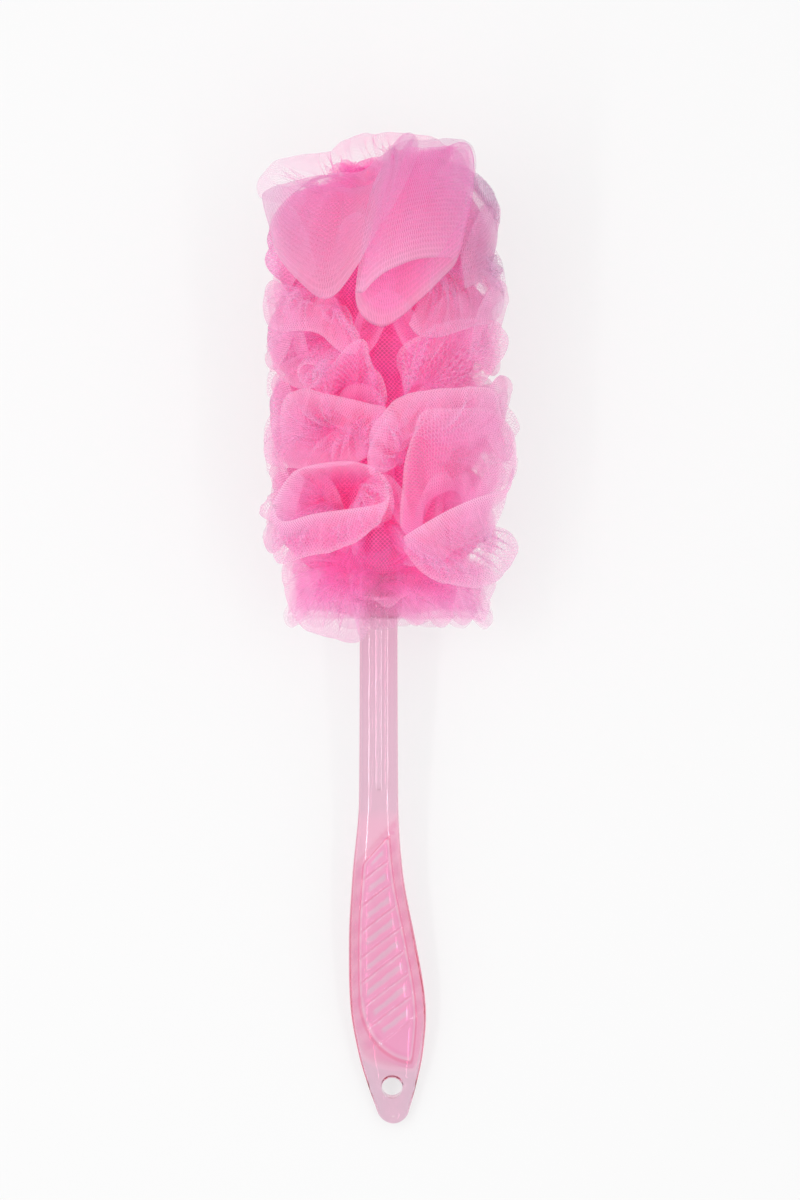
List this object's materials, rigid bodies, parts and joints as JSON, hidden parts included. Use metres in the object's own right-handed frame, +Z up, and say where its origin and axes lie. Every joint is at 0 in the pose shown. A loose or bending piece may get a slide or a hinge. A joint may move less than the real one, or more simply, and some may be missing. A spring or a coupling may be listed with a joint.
{
  "type": "loofah back scrubber",
  "caption": "Long-handled bath scrubber: a see-through moulded handle with gathered netting ruffs tied along its upper end, for washing the back.",
  "frame": {"origin": "centre of the scrubber seen from above, on the surface that it lies on", "axes": "+Y along the scrubber from the grip towards the head, +Z up from the surface, +X to the right seen from above"},
  "size_m": [0.1026, 0.4006, 0.0957],
  "materials": {
    "handle_plastic": "gloss",
    "netting": "satin",
    "tie_cord": "satin"
  },
  "bodies": {
    "root": {"handle": "handle_plastic", "crown_netting": "netting", "upper_netting": "netting", "middle_netting": "netting", "lower_netting": "netting", "skirt_netting": "netting", "crown_tie": "tie_cord", "upper_tie": "tie_cord", "middle_tie": "tie_cord", "lower_tie": "tie_cord", "skirt_tie": "tie_cord"}
  },
  "joints": []
}
